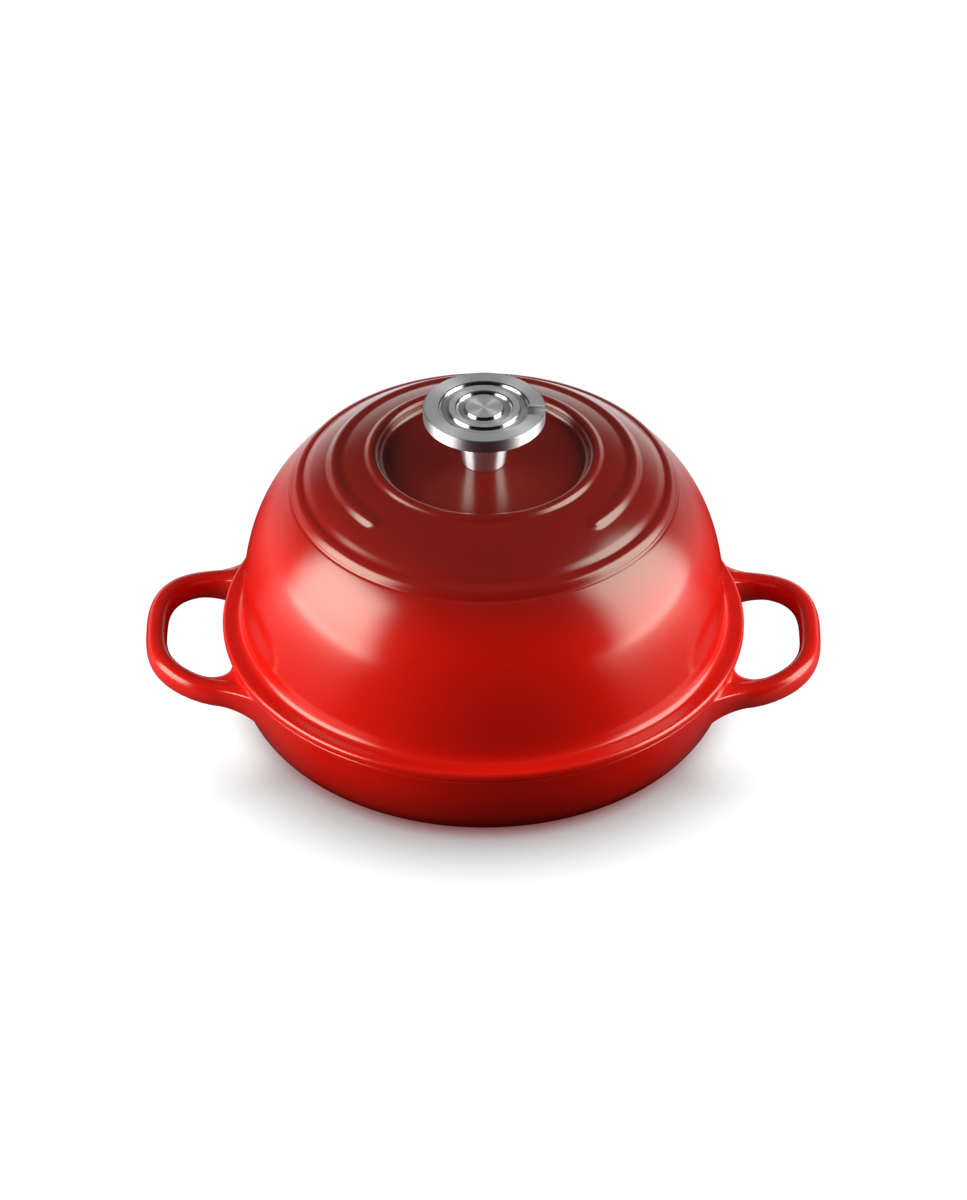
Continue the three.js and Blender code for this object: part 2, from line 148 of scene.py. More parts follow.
def closeTree(geometry, material):
    realized = geometry.node("GeometryNodeRealizeInstances", None, {"Geometry": geometry})
    sockets = {"Geometry": realized, "Material": material}
    painted = geometry.node("GeometryNodeSetMaterial", None, sockets)
    output = geometry.tree.nodes.new("NodeGroupOutput")
    painted.plug(output.inputs[0], painted)
    return geometry.tree


def addNodes(obj, tree, values):
    modifier = obj.modifiers.new(tree.name, "NODES")
    modifier.node_group = tree
    for item in tree.interface.items_tree:
        if item.in_out == "INPUT" and item.name in values:
            modifier[item.identifier] = values[item.name]


def settle(obj):
    # the evaluated result becomes the object's own mesh, in one material and with no modifier left
    depsgraph = bpy.context.evaluated_depsgraph_get()
    mesh = bpy.data.meshes.new_from_object(obj.evaluated_get(depsgraph))
    obj.modifiers.clear()
    obj.data = mesh
    material = next(m for m in mesh.materials if m)
    mesh.materials.clear()
    mesh.materials.append(material)
    mesh.polygons.foreach_set("material_index", [0] * len(mesh.polygons))
    return obj


def newObject(name, points, edges, faces):
    mesh = bpy.data.meshes.new(name)
    mesh.from_pydata([tuple(p) for p in points], edges, faces)
    obj = bpy.data.objects.new(name, mesh)
    bpy.context.scene.collection.objects.link(obj)
    return obj


def turnedTree():
    # turns the object's profile, a row of points in the XZ plane, about Z
    inputs = openTree("Turned piece", {"Segments": "Int", "Material": "Material"})
    profile, segments = inputs["Geometry"], inputs["Segments"]
    count = profile.node("GeometryNodeAttributeDomainSize", None, {"Geometry": profile})
    size = {"Vertices X": segments + 1, "Vertices Y": count}
    grid = profile.node("GeometryNodeMeshGrid", None, size)
    index = profile.node("GeometryNodeInputIndex")
    division = {0: index, 1: count}
    row = index.node("FunctionNodeIntegerMath", {"operation": "MODULO"}, division)
    column = index.node("FunctionNodeIntegerMath", {"operation": "DIVIDE_FLOOR"}, division)
    place = profile.node("GeometryNodeInputPosition")
    sampled = {"Geometry": profile, "Value": place, "Index": row}
    point = profile.node("GeometryNodeSampleIndex", {"data_type": "FLOAT_VECTOR"}, sampled)
    radius, _, height = point.parts()
    turn = column / segments * math.tau
    spot = point.node("ShaderNodeCombineXYZ", None, {
        "X": radius * turn.math("COSINE", turn),
        "Y": radius * turn.math("SINE", turn),
        "Z": height,
    })
    body = grid.node("GeometryNodeSetPosition", None, {"Geometry": grid, "Position": spot})
    flag = profile.node("GeometryNodeInputNamedAttribute", None, {"Name": "finish"})
    sampled = {"Geometry": profile, "Value": flag, "Index": row}
    body = body.node("GeometryNodeStoreNamedAttribute", None, {
        "Geometry": body,
        "Name": "finish",
        "Value": flag.node("GeometryNodeSampleIndex", None, sampled),
    })
    body = body.node("GeometryNodeMergeByDistance", None, {"Geometry": body, "Distance": 1e-6})
    body = body.node("GeometryNodeSetShadeSmooth", None, {"Geometry": body})
    return closeTree(body, inputs["Material"])


def ringTree():
    # raises a rounded ring on the turned lid; a gap leaves its front open, with rounded ends
    inputs = openTree("Raised ring", {
        "Crest Radius": "Float",
        "Inside": "Float",
        "Outside": "Float",
        "Height": "Float",
        "Gap": "Float",
        "End Length": "Float",
        "Crease": "Float",
        "Material": "Material",
    })
    cap, crest, gap = inputs["Geometry"], inputs["Crest Radius"], inputs["Gap"]
    x, y, _ = cap.node("GeometryNodeInputPosition").parts()
    radius = radiusOf(x, y)
    beyond = radius > crest
    width = inputs["Inside"] + (inputs["Outside"] - inputs["Inside"]) * beyond
    fromFront = x.math("ABSOLUTE", x.math("ARCTAN2", x, 0 - y))
    pastEnd = ((fromFront - gap / 2) * crest / inputs["End Length"]).limited(0.0, 1.0)
    share = x.math("SQRT", 1 - (1 - pastEnd) * (1 - pastEnd))
    share = share.math("MAXIMUM", share, gap < 0.001)
    across = x.math("ABSOLUTE", radius - crest) / width.math("MAXIMUM", width * share, 1e-6)
    across = across.limited(0.0, 1.0)
    bell = (1 + x.math("COSINE", across * math.pi)) / 2
    quarter = x.math("COSINE", across * (math.pi / 2))  # meets the dome in a crease
    shape = bell + (quarter - bell) * beyond * inputs["Crease"]
    flag = cap.node("GeometryNodeInputNamedAttribute", None, {"Name": "finish"})
    normal = cap.node("GeometryNodeInputNormal")
    offset = normal.node("ShaderNodeVectorMath", {"operation": "SCALE"}, {
        "Vector": normal,
        "Scale": shape * share * inputs["Height"] * (flag < 0.5),
    })
    raised = cap.node("GeometryNodeSetPosition", None, {"Geometry": cap, "Offset": offset})
    return closeTree(raised, inputs["Material"])


def threadTree():
    # cuts a thread into a turned shank by drawing its surface in along a helix
    inputs = openTree("Screw thread", {
        "Shank Radius": "Float",
        "Pitch": "Float",
        "Depth": "Float",
        "Low": "Float",
        "High": "Float",
        "Material": "Material",
    })
    body = inputs["Geometry"]
    x, y, z = body.node("GeometryNodeInputPosition").parts()
    radius = radiusOf(x, y)
    turn = x.math("ARCTAN2", y, x) / math.tau
    wave = x.math("PINGPONG", z / inputs["Pitch"] - turn, 0.5) * 2
    onShank = (radius > inputs["Shank Radius"] * 0.97) * (radius < inputs["Shank Radius"] * 1.03)
    inRange = rise(z, inputs["Low"], inputs["Low"] + inputs["Pitch"]) * (z < inputs["High"])
    draw = 0 - inputs["Depth"] * wave * onShank * inRange / radius
    offset = x.node("ShaderNodeCombineXYZ", None, {"X": x * draw, "Y": y * draw})
    cut = body.node("GeometryNodeSetPosition", None, {"Geometry": body, "Offset": offset})
    return closeTree(cut, inputs["Material"])


turned = turnedTree()
raisedRing = ringTree()
screwThread = threadTree()
print("node trees ready")


# Profiles: rows of (radius, height) in millimetres; a strand also gives the finish of its points

def arc(center, radius, fromAngle, toAngle, steps=8):
    angles = np.radians(np.linspace(fromAngle, toAngle, steps + 1))
    return [(center[0] + radius * math.cos(a), center[1] + radius * math.sin(a)) for a in angles]


def rounded(corners, steps=5):
    # each corner is (radius, height, rounding)
    path = []
    for i, (r, z, size) in enumerate(corners):
        here = np.array([r, z], float)
        if size == 0 or i in (0, len(corners) - 1):
            path.append((r, z))
            continue
        back = np.array(corners[i - 1][:2]) - here
        ahead = np.array(corners[i + 1][:2]) - here
        back = back / np.linalg.norm(back)
        ahead = ahead / np.linalg.norm(ahead)
        half = math.acos(np.clip(back @ ahead, -1, 1)) / 2
        center = here + (back + ahead) / np.linalg.norm(back + ahead) * size / math.sin(half)
        start = here + back * size / math.tan(half) - center
        end = here + ahead * size / math.tan(half) - center
        a0 = math.atan2(start[1], start[0])
        sweep = (math.atan2(end[1], end[0]) - a0 + math.pi) % math.tau - math.pi
        path += arc(center, size, math.degrees(a0), math.degrees(a0 + sweep), steps)
    return path


def evenly(path, step):
    # the same path with no stretch longer than step
    fine = [path[0]]
    for a, b in zip(path, path[1:]):
        parts = max(1, math.ceil(math.dist(a, b) / step))
        for s in range(1, parts + 1):
            fine.append((a[0] + (b[0] - a[0]) * s / parts, a[1] + (b[1] - a[1]) * s / parts))
    return fine


def spaced(path, step):
    # a smooth path with its points put at even distances
    points = np.array(path)
    length = np.concatenate([[0], np.cumsum(np.hypot(*np.diff(points, axis=0).T))])
    stops = np.linspace(0, length[-1], max(2, round(length[-1] / step) + 1))
    return list(zip(np.interp(stops, length, points[:, 0]), np.interp(stops, length, points[:, 1])))


def strand(path, finish=0.0):
    return [(r, z, finish) for r, z in path]


def turnedPiece(name, profile, base, segments, material):
    # the profile stands on height base and runs anticlockwise round the metal
    points = [(max(r, 0) * mm, 0, (base + z) * mm) for r, z, _ in profile]
    obj = newObject(name, points, [(i, i + 1) for i in range(len(points) - 1)], [])
    finish = obj.data.attributes.new("finish", "FLOAT", "POINT")
    finish.data.foreach_set("value", [value for _, _, value in profile])
    addNodes(obj, turned, {"Segments": segments, "Material": material})
    return obj


def cutAway(obj, cutter):
    cut = obj.modifiers.new("Cut", "BOOLEAN")
    cut.operation = "DIFFERENCE"
    cut.object = cutter
    settle(obj)
    bpy.data.objects.remove(cutter)


def sharpen(obj, angle=40):
    obj.data.set_sharp_from_angle(angle=math.radians(angle))


def finishPiece(obj, body, node):
    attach(obj, body)
    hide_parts(node)
    print("made", obj.name, "with", len(obj.data.polygons), "faces")


# Enamel: red glass outside (finish 0) and satin black inside (finish 1)

enamel = {
    "scarlet": (0.69, 0.009, 0.004, 1),
    "cherry": (0.21, 0.009, 0.006, 1),
    "black": (0.012, 0.012, 0.013, 1),
    "glint": (1, 1, 0.84, 1),  # the glaze mirrors light a little creamy
    "gloss": 0.18,
    "satin": 0.42,
    "ior": 1.6,
    "cloudScale": 35.0,  # broad unevenness of the colour and the gloss
    "cloudShade": 0.08,
    "cloudGloss": 0.03,
    "rippleScale": 120.0,  # faint waves of the glaze
    "ripple": 0.3,
    "grainScale": 900.0,  # grit of the black enamel
    "bumpStrength": 0.1,
    "bumpDepth": 0.0001,
    "lidFade": (0.097, 0.136),  # heights in metres between which the lid darkens
    "lidSideShade": 0.05,  # painted light and shade: the left, lit more strongly, darkens higher up than the right
    "panFade": (0.038, 0.002),
    "panLean": 0,
}


def startMaterial(name):
    material = bpy.data.materials.new(name)
    material.use_nodes = True
    shader = material.node_tree.nodes["Principled BSDF"]
    return material, Wire(material.node_tree), shader


def noise(place, scale, detail):
    return place.node("ShaderNodeTexNoise", None, {"Vector": place, "Scale": scale, "Detail": detail})


def bump(height, strength, depth):
    sockets = {"Strength": strength, "Distance": depth, "Height": height}
    return height.node("ShaderNodeBump", None, sockets)


def enamelMaterial(name, fade, sideShade):
    # scarlet turns to cherry between the two heights of fade; their tilt from left to right is painted
    # light and shade, keeping the more strongly lit left brighter
    material, make, shader = startMaterial(name)
    place = make.node("ShaderNodeTexCoord", out="Object")
    finish = make.node("ShaderNodeAttribute", {"attribute_name": "finish"}, out="Fac")
    cloud = noise(place, enamel["cloudScale"], 2.0)
    grain = noise(place, enamel["grainScale"], 3.0)
    ripple = noise(place, enamel["rippleScale"], 1.0)
    x, _, height = place.parts()
    # the tilt by x is painted light and shade
    shade = rise(height + sideShade * x, *fade) + (cloud - 0.5) * enamel["cloudShade"]
    red = mixColor(shade, enamel["scarlet"], enamel["cherry"])
    isInside = rise(finish, 0.4, 0.6)
    make.plug(shader.inputs["Base Color"], mixColor(isInside, red, enamel["black"]))
    gloss = enamel["gloss"] + (cloud - 0.5) * enamel["cloudGloss"]
    make.plug(shader.inputs["Roughness"], gloss + isInside * (enamel["satin"] - enamel["gloss"]))
    surface = ripple * enamel["ripple"] + grain * isInside
    bumped = bump(surface, enamel["bumpStrength"], enamel["bumpDepth"])
    make.plug(shader.inputs["Normal"], bumped)
    shader.inputs["IOR"].default_value = enamel["ior"]
    shader.inputs["Specular Tint"].default_value = enamel["glint"]
    return material


lidEnamel = enamelMaterial("lidEnamel", enamel["lidFade"], enamel["lidSideShade"])
panEnamel = enamelMaterial("panEnamel", enamel["panFade"], enamel["panLean"])


# Steel: brushed flats (finish 0), a darker brushed edge (0.5) and polished grooves (1); the tool's
# lines run round the axis, so gloss spreads across them

steel = {
    "brushed": {
        "tint": (0.76, 0.76, 0.76, 1),
        "rough": 0.50,
        "polish": 0.20,  # roughness of the grooves
        "spread": 0.88,
        "metal": 0.52,  # of the flats, which scatter some light
    },
    "turned": {
        "tint": (0.92, 0.91, 0.90, 1),
        "rough": 0.35,
        "polish": 0.35,
        "spread": 1.0,
        "metal": 0.9,
    },
    "plated": {
        "tint": (0.62, 0.63, 0.63, 1),
        "rough": 0.32,
        "polish": 0.32,
        "spread": 0.2,
        "metal": 1.0,
    },
    "lines": 2500,
    "lineDepth": 0.00003,
    "lineBump": 0.2,
    "lineShade": 0.6,  # the darkest lines against the tint
    "lineRough": 0.06,
    "patchScale": 160.0,
    "patchRough": 0.04,
    "acrossLines": 0.25,  # a quarter turn
}


def steelMaterial(name, look):
    material, make, shader = startMaterial(name)
    place = make.node("ShaderNodeTexCoord", out="Object")
    finish = make.node("ShaderNodeAttribute", {"attribute_name": "finish"}, out="Fac")
    x, y, z = place.parts()
    along = (radiusOf(x, y) + z) * steel["lines"]
    lines = {"W": along, "Detail": 4.0, "Roughness": 0.8}
    fine = make.node("ShaderNodeTexNoise", {"noise_dimensions": "1D"}, lines)
    patch = noise(place, steel["patchScale"], 2.0)
    darker = [steel["lineShade"] * c for c in look["tint"][:3]] + [1]
    make.plug(shader.inputs["Base Color"], mixColor(rise(fine, 0.3, 0.7), look["tint"], darker))
    polished = rise(finish, 0.6, 0.9)
    bare = rise(finish, 0.1, 0.4)
    rough = look["rough"] + polished * (look["polish"] - look["rough"])
    rough = rough + (fine - 0.5) * steel["lineRough"] + (patch - 0.5) * steel["patchRough"]
    make.plug(shader.inputs["Roughness"], rough)
    make.plug(shader.inputs["Normal"], bump(fine, steel["lineBump"], steel["lineDepth"]))
    make.plug(shader.inputs["Metallic"], look["metal"] + bare * (1 - look["metal"]))
    shader.inputs["Anisotropic"].default_value = look["spread"]
    shader.inputs["Anisotropic Rotation"].default_value = steel["acrossLines"]
    return material


brushedSteel = steelMaterial("knobBrushedSteel", steel["brushed"])
turnedSteel = steelMaterial("knobTurnedSteel", steel["turned"])
platedSteel = steelMaterial("fastenerSteel", steel["plated"])
print("materials ready")


# Lid

lid = {
    "segments": 340,
    "registerDepth": 3.2,  # ring under the flange that keeps the lid centred
    "registerWidth": 3.4,
    "registerRadius": 119.6,
    "registerTip": 118.9,
    "registerRounds": (1.2, 0.8, 0.3),  # from the inside out
    "registerStep": 2,
    "seatGap": 0.3,
    "flangeReach": 9.5,
    "flangeThickness": 4.5,
    "flangeRound": 1.9,
    "flangeUnder": 0.8,
    "flangeFillet": 3.6,
    "flangeStep": 1.5,
    "domeHeight": 104,
    "fullness": 2.8,  # superellipse exponent of the dome's outline
    "wall": 3.2,
    "dishRadius": 51,
    "dishDraft": 2.2,
    "dishEdge": 2.0,
    "dishCove": 3.6,
    "dishLead": 3.0,  # where the rounding of the dish's edge may start, out from the edge
    "dishSteps": 10,
    "dishStep": 2.5,
    "crownRound": 3,
    "crownStep": 5,
    "insideStep": 4,
    "hole": 3.2,
    "holeBevel": 0.4,
    "capStep": 0.45,  # spacing of the mesh rows over the rings
    "wallStep": 2.2,
    "capRadius": 94,
    # crest, inside, outside, height, crease and degrees left open at the front; the last two are
    # grooves beside the outer ring
    "rings": (
        (53.6, 6.2, 3.2, 1.4, 0, 0),
        (71.0, 5.0, 4.0, 1.5, 0, 88),
        (88.3, 3.0, 3.2, 1.15, 0.9, 0),
        (85.3, 3.6, 1.8, -0.35, 0, 0),
        (91.6, 0.8, 0.9, -0.22, 0, 0),
    ),
    "endLength": 5,
}
domeRadius = rimRadius - lid["flangeReach"]


def domeCurve(shrink, lowZ, topRadius):
    # the superellipse from height lowZ up to radius topRadius
    a = domeRadius - shrink
    h = lid["domeHeight"] - shrink
    n = lid["fullness"]
    low = math.asin((lowZ / h) ** (n / 2))
    high = math.acos((topRadius / a) ** (n / 2))
    turns = np.linspace(low, high, 600)
    return [(a * math.cos(t) ** (2 / n), h * math.sin(t) ** (2 / n)) for t in turns]


def lidInside():
    under = lidUnderside - seat
    depth, tip = lid["registerDepth"], lid["registerTip"]
    foot, edge, root = lid["registerRounds"]
    curve = domeCurve(lid["wall"], lid["flangeThickness"], lid["dishRadius"] + lid["wall"])[::-1]
    crown = rounded([
        (lid["hole"], under, 0),
        (lid["dishRadius"] - lid["dishDraft"], under, lid["crownRound"]),
        (*curve[0], 0),
    ])
    register = rounded([
        (*curve[-1], 0),
        (tip - lid["registerWidth"], -depth, foot),
        (tip, -depth, edge),
        (lid["registerRadius"], lid["seatGap"], root),
        (rimRadius - lid["flangeUnder"], lid["seatGap"], 0),
    ])
    return [
        *evenly(crown, lid["crownStep"])[:-1],
        *spaced(curve, lid["insideStep"]),
        *evenly(register, lid["registerStep"])[1:],
    ]


def lidOutside():
    thick, fillet = lid["flangeThickness"], lid["flangeFillet"]
    upper, lower = lid["flangeRound"], lid["flangeUnder"]
    floor = dishFloor - seat
    hole, bevel = lid["hole"], lid["holeBevel"]
    outer = domeCurve(0, thick + fillet, lid["dishRadius"])
    wall = [p for p in outer if p[0] > lid["capRadius"]]
    cap = [p for p in outer if p[0] <= lid["capRadius"]]
    leadRadius = lid["dishRadius"] + lid["dishLead"]
    edgeStart = next(i for i, p in enumerate(cap) if p[0] < leadRadius)
    flange = [
        *arc((rimRadius - lower, lid["seatGap"] + lower), lower, -90, 0, 4),
        *arc((rimRadius - upper, thick - upper), upper, 0, 90, 8),
        *arc((outer[0][0] + fillet, thick + fillet), fillet, 270, 180, 12)[:-1],
    ]
    dish = rounded([
        (*cap[edgeStart], 0),
        (*cap[-1], lid["dishEdge"]),
        (lid["dishRadius"] - lid["dishDraft"], floor, lid["dishCove"]),
        (hole + bevel, floor, 0),
        (hole, floor - bevel, 0),
        (hole, lidUnderside - seat, 0),
    ], lid["dishSteps"])
    return [
        *evenly(flange, lid["flangeStep"]),
        *spaced(wall + cap[:1], lid["wallStep"]),
        *spaced(cap[:edgeStart + 1], lid["capStep"])[1:],
        *evenly(dish, lid["dishStep"])[1:],
    ]


def makeLid():
    profile = strand(lidInside(), 1.0)[:-1] + strand(lidOutside())
    obj = turnedPiece("lidCasting", profile, seat, lid["segments"], lidEnamel)
    for crest, inside, outside, height, crease, gap in lid["rings"]:
        addNodes(obj, raisedRing, {
            "Crest Radius": crest * mm,
            "Inside": inside * mm,
            "Outside": outside * mm,
            "Height": height * mm,
            "Gap": math.radians(gap),
            "End Length": lid["endLength"] * mm,
            "Crease": float(crease),
            "Material": lidEnamel,
        })
    finishPiece(settle(obj), "lid", "dome_lid")


makeLid()


# Pan: a turned bowl whose wall is left open where the handle roots grow out of it

pan = {
    "columns": 360,  # one to a degree
    "lipSetback": 1.0,
    "lipRound": 1.2,
    "mouthRound": 0.8,
    "taper": 5.7,
    "corner": 21.5,
    "wall": 3.6,
    "floor": 4.2,
    "footWidth": 9.0,
    "footRecess": 0.8,
    "footRounds": (0.8, 0.4),
    "underStep": 4,
    "insideStep": 3,
    "cornerSteps": 22,
    "insideCornerSteps": 18,
    "wallRows": 13,
    "ridges": (24, 40, 56, 72),
    "ridgeWidth": 5.0,
    "ridgeHeight": 1.2,
    "ridgeRows": 11,
}
handle = {
    "span": 91.0,
    "fullness": 2.8,
    "width": 10.2,
    "thickness": 12.6,
    "edge": 2.5,  # superellipse exponent of the bar's section
    "drop": 3.5,
    "rise": 3.1,
    "rootFrom": 15,  # degrees from X where a root starts and ends on the wall
    "rootTo": 31,
    "rootRows": 11,
    "web": 1.3,  # how much further the fillet runs along the bar on the finger gap's side
    "shortestFillet": 0.6,
    "filletSteps": 14,
    "blends": (0.2, 0.4, 0.6, 0.8),  # rings between the fillets' ends and the plain bar
    "blendLength": 2,
    "barSteps": 80,
    "samples": 2000,  # of the bar's middle line
}


def tangentAngle(center, radius, point):
    away = math.dist(center, point)
    turn = math.atan2(point[1] - center[1], point[0] - center[0]) - math.acos(radius / away)
    return math.degrees(turn)


lipRadius = rimRadius - pan["lipSetback"]
wallTop = (lipRadius, seat - pan["lipRound"])
cornerCenter = (lipRadius - pan["taper"] - pan["corner"], pan["corner"])
wallLeave = tangentAngle(cornerCenter, pan["corner"], wallTop)
wallFoot = arc(cornerCenter, pan["corner"], wallLeave, wallLeave, 1)[0]


def wallRadiusAt(z):
    share = (z - wallFoot[1]) / (wallTop[1] - wallFoot[1])
    return wallFoot[0] + (wallTop[0] - wallFoot[0]) * share


def panUnderside():
    footInside = cornerCenter[0] - pan["footWidth"]
    recess = pan["footRecess"]
    hollow, edge = pan["footRounds"]
    below = rounded([
        (0, recess, 0),
        (footInside - recess, recess, hollow),
        (footInside, 0, edge),
        (cornerCenter[0], 0, 0),
    ])
    corner = arc(cornerCenter, pan["corner"], -90, wallLeave, pan["cornerSteps"])
    return evenly(below, pan["underStep"]) + corner[1:-1]


def panInside():
    edge = pan["mouthRound"]
    mouth = arc((lipRadius - pan["wall"] + edge, seat - edge), edge, 90, 180, 5)
    radius = pan["corner"] - pan["wall"]
    center = (cornerCenter[0], pan["floor"] + radius)
    leave = tangentAngle(center, radius, mouth[-1])
    corner = arc(center, radius, leave, -90, pan["insideCornerSteps"])
    floor = []
    for ridge in reversed(pan["ridges"]):
        for s in np.linspace(1, -1, pan["ridgeRows"]):
            lift = pan["ridgeHeight"] * (1 + math.cos(math.pi * s)) / 2
            floor.append((ridge + s * pan["ridgeWidth"] / 2, pan["floor"] + lift))
    return evenly(mouth + corner + floor + [(0, pan["floor"])], pan["insideStep"])


def panProfile():
    # the rows from the middle of the underside to the middle of the floor, and the wall's first row
    under = panUnderside()
    heights = np.linspace(wallFoot[1], wallTop[1], pan["wallRows"] + 1)
    wall = [(wallRadiusAt(z), z) for z in heights]
    lip = arc((lipRadius - pan["lipRound"], wallTop[1]), pan["lipRound"], 0, 90, 6)[1:]
    rows = strand(under + wall + lip[:3]) + strand(lip[3:] + panInside(), 1.0)
    return rows, len(under)


def handlePath():
    # middle line of the +X bar from the +Y root to the -Y root, evenly spaced
    half = handle["span"] / 2
    root = math.sqrt(lipRadius ** 2 - half ** 2) - pan["wall"] - pan["taper"]
    reach = handleTip - handle["width"] / 2 - root
    turns = np.linspace(math.pi / 2, -math.pi / 2, 2 * handle["samples"] + 1)
    power = 2 / handle["fullness"]
    x = root + reach * np.abs(np.cos(turns)) ** power
    y = half * np.sign(np.sin(turns)) * np.abs(np.sin(turns)) ** power
    length = np.concatenate([[0], np.cumsum(np.hypot(np.diff(x), np.diff(y)))])
    even = np.linspace(0, length[-1], handle["samples"] + 1)
    x, y = np.interp(even, length, x), np.interp(even, length, y)
    along = np.stack([np.gradient(x), np.gradient(y)], 1)
    along /= np.linalg.norm(along, axis=1, keepdims=True)
    outward = np.stack([-along[:, 1], along[:, 0]], 1)
    lift = np.clip((x - rimRadius) / (root + reach - rimRadius), 0, 1)
    lift = lift * lift * (3 - 2 * lift)
    z = seat - handle["drop"] - handle["thickness"] / 2 + handle["rise"] * lift
    return even, np.stack([x, y, z], 1), outward


def rootOutline(columns, rows):
    # steps round a root's square opening, across from the finger gap's side and up the wall
    ring = [(s, 0) for s in range(columns)]
    ring += [(columns, s) for s in range(rows)]
    ring += [(columns - s, rows) for s in range(columns)]
    ring += [(0, rows - s) for s in range(rows)]
    return ring


def bridge(first, second):
    count = len(first)
    return [
        (first[i], first[(i + 1) % count], second[(i + 1) % count], second[i]) for i in range(count)
    ]


def handleRings(ring, wallRows):
    # rings of points from the +Y root, round the bar, to the -Y root, without the two openings
    even, path, outward = handlePath()
    across = handle["rootTo"] - handle["rootFrom"]
    square = np.array([(2 * u / across - 1, 2 * v / handle["rootRows"] - 1) for u, v in ring])
    size = (np.abs(square) ** handle["edge"]).sum(1) ** (-1 / handle["edge"])
    section = square * size[:, None] * np.array([handle["width"], handle["thickness"]]) / 2

    def barPoint(i, distance):
        at = [np.interp(distance, even, path[:, k]) for k in range(3)]
        side = [np.interp(distance, even, outward[:, k]) for k in range(2)]
        wide, high = section[i]
        return np.array([at[0] + side[0] * wide, at[1] + side[1] * wide, at[2] + high])

    def onWall(angle, z):
        return np.array([wallRadiusAt(z) * math.cos(angle), wallRadiusAt(z) * math.sin(angle), z])

    # where each line of the bar meets the wall, and how far its fillet reaches along the bar
    lines = []
    half = handle["samples"] // 2
    for i, (u, v) in enumerate(ring):
        angle, z = math.radians(handle["rootFrom"] + u), wallRows[v][1]
        line = path[:half].copy()
        line[:, :2] += outward[:half] * section[i, 0]
        line[:, 2] += section[i, 1]
        gap = np.hypot(line[:, 0], line[:, 1]) - wallRadiusAt(line[:, 2])
        k = int(np.argmax(gap > 0))
        meet = even[k - 1] + (even[k] - even[k - 1]) * gap[k - 1] / (gap[k - 1] - gap[k])
        q = barPoint(i, meet)
        reach = max(np.linalg.norm(q - onWall(angle, z)), handle["shortestFillet"])
        reach *= 1 + handle["web"] * max(-square[i, 0], 0)
        lines.append((angle, z, math.atan2(q[1], q[0]), q[2], meet, reach))
    common = max(meet + reach for *_, meet, reach in lines) + handle["blendLength"]

    firstHalf = []
    for k in range(1, handle["filletSteps"] + 1):
        phi = k / handle["filletSteps"] * math.pi / 2
        made = []
        for i, (a0, z0, a1, z1, meet, reach) in enumerate(lines):
            foot = onWall(a0 + (a1 - a0) * math.sin(phi), z0 + (z1 - z0) * math.sin(phi))
            made.append(foot + barPoint(i, meet + reach * (1 - math.cos(phi))) - barPoint(i, meet))
        firstHalf.append(made)
    for s in handle["blends"]:
        stops = [meet + reach + (common - meet - reach) * s for *_, meet, reach in lines]
        firstHalf.append([barPoint(i, stop) for i, stop in enumerate(stops)])
    stations = np.linspace(common, even[-1] - common, handle["barSteps"])
    middle = [[barPoint(i, s) for i in range(len(ring))] for s in stations]
    mirror = np.array([1, -1, 1])
    return firstHalf + middle + [[p * mirror for p in made] for made in reversed(firstHalf)]


def makePan():
    rows, wallStart = panProfile()
    columns = pan["columns"]
    topRow = wallStart + pan["wallRows"]
    lowRow = topRow - handle["rootRows"]
    across = handle["rootTo"] - handle["rootFrom"]
    openings = (handle["rootFrom"], 180 - handle["rootTo"])
    points, flags, starts, faces = [], [], [], []
    for r, z, finish in rows:
        starts.append(len(points))
        turns = np.radians(np.arange(columns) * 360 / columns) if r > 0 else [0]
        points += [(r * math.cos(t), r * math.sin(t), z) for t in turns]
        flags += [finish] * len(turns)
    for row in range(len(rows) - 1):
        a, b = starts[row], starts[row + 1]
        for c in range(columns):
            d = (c + 1) % columns
            isOpen = lowRow <= row < topRow and any(s <= c % 180 < s + across for s in openings)
            if rows[row][0] == 0:
                faces.append((a, b + d, b + c))
            elif rows[row + 1][0] == 0:
                faces.append((a + c, a + d, b))
            elif not isOpen:
                faces.append((a + c, a + d, b + d, b + c))

    ring = rootOutline(across, handle["rootRows"])
    rings = handleRings(ring, rows[lowRow:topRow + 1])
    for turn in (0, 180):  # the -X handle is the +X one turned half round
        def opening(side):
            return [
                starts[lowRow + v] + (side * (handle["rootFrom"] + u) + turn) % columns for u, v in ring
            ]

        sign = 1 if turn == 0 else -1
        previous = opening(1)
        for made in rings:
            current = list(range(len(points), len(points) + len(made)))
            points += [(p[0] * sign, p[1] * sign, p[2]) for p in made]
            flags += [0.0] * len(made)
            faces += bridge(previous, current)
            previous = current
        faces += bridge(previous, opening(-1))

    used = sorted({i for face in faces for i in face})  # the points inside the openings go
    place = {old: new for new, old in enumerate(used)}
    faces = [[place[i] for i in face] for face in faces]
    obj = newObject("panCasting", np.array(points)[used] * mm, [], faces)
    finish = obj.data.attributes.new("finish", "FLOAT", "POINT")
    finish.data.foreach_set("value", [flags[i] for i in used])
    obj.data.materials.append(panEnamel)
    obj.data.shade_smooth()
    finishPiece(obj, "pan", "base_pan")


makePan()


# Knob: a grooved disc on a flared stem, held from inside the dome

